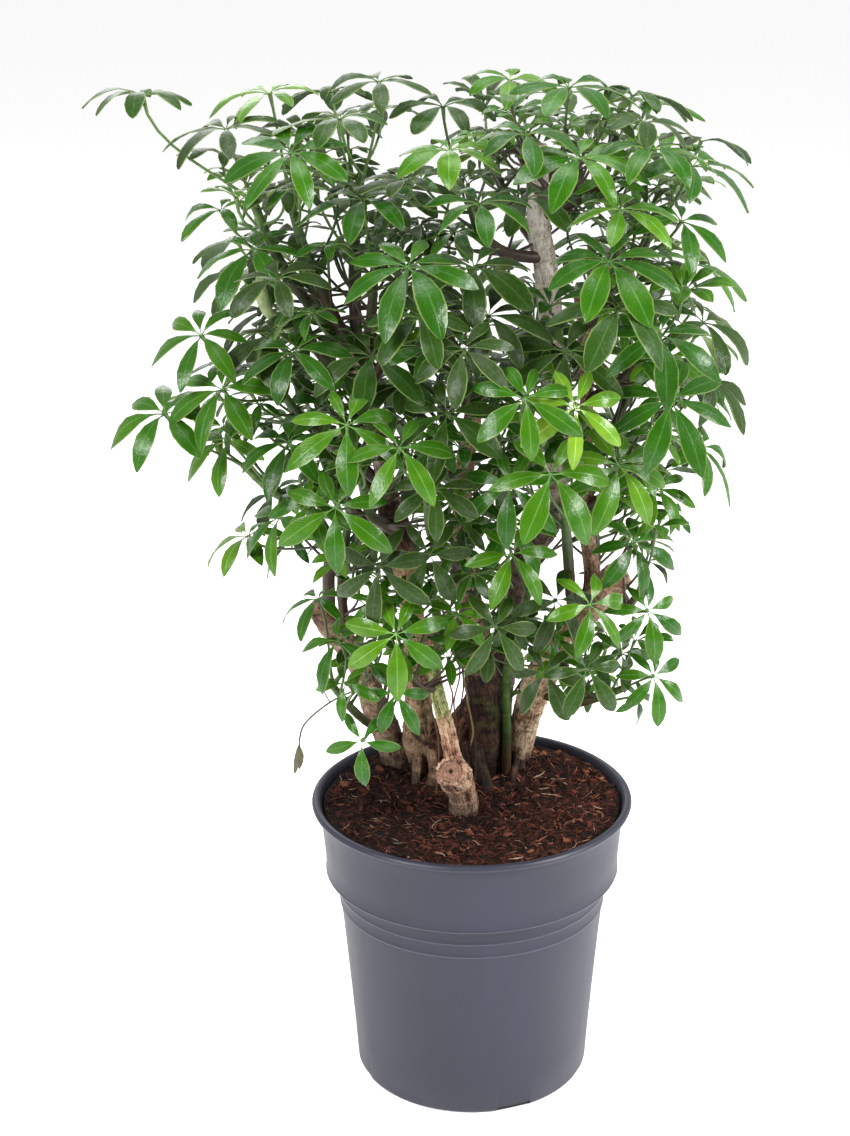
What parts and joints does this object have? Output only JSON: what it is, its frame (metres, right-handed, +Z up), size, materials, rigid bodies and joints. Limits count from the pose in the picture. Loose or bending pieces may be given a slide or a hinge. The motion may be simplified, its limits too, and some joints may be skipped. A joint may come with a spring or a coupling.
{
  "type": "potted umbrella plant",
  "caption": "Bushy umbrella plant of old cut trunks and leafy green shoots, planted in a round plastic grower pot.",
  "frame": {"origin": "centre of the pot's base, on the surface it stands on", "axes": "+Z up along the pot's axis, -Y towards the plant's front, +X to the right as seen from the front"},
  "size_m": [0.5205, 0.4037, 0.8414],
  "materials": {
    "pot": "satin slate grey moulded plastic",
    "soil": "rough moist potting soil with bark fibres",
    "bark": "rough grey-brown bark",
    "leaf": "glossy leathery green"
  },
  "bodies": {
    "root": {"front_stub": "bark", "right_trunk": "bark", "centre_trunk": "bark", "mid_left_trunk": "bark", "left_trunk": "bark", "tall_trunk": "bark", "shoot_tip_left": "leaf", "shoot_left_crown": "leaf", "shoot_left_top": "leaf", "shoot_left_inner": "leaf", "shoot_left_bank": "leaf", "shoot_left_front": "leaf", "shoot_left_reach": "leaf", "shoot_centre_crown": "leaf", "shoot_left_low": "leaf", "shoot_left_middle": "leaf", "shoot_front_left": "leaf", "shoot_front_middle": "leaf", "shoot_low_left": "leaf", "shoot_stub_left": "leaf", "shoot_stub_top": "leaf", "shoot_right_green": "leaf", "shoot_right_low": "leaf", "shoot_right_front": "leaf", "shoot_right_knob": "leaf", "shoot_right_middle": "leaf", "shoot_right_upper": "leaf", "shoot_right_crown": "leaf", "shoot_centre_front": "leaf", "shoot_centre_dark": "leaf", "shoot_top_right": "leaf", "shoot_far_right": "leaf", "shoot_top_front": "leaf", "shoot_top_centre": "leaf", "shoot_top_middle": "leaf", "shoot_from_soil": "leaf", "shoot_back_left_top": "leaf", "shoot_back_left_high": "leaf", "shoot_back_left_middle": "leaf", "shoot_back_left_low": "leaf", "shoot_back_middle_low": "leaf", "shoot_back_middle": "leaf", "shoot_back_centre": "leaf", "shoot_back_right_low": "leaf", "shoot_back_right_side": "leaf", "shoot_back_right_middle": "leaf", "shoot_back_tall": "leaf", "shoot_back_right_top": "leaf", "shoot_back_centre_top": "leaf", "shoot_back_top": "leaf", "pot": "pot", "soil": "soil"}
  },
  "joints": []
}
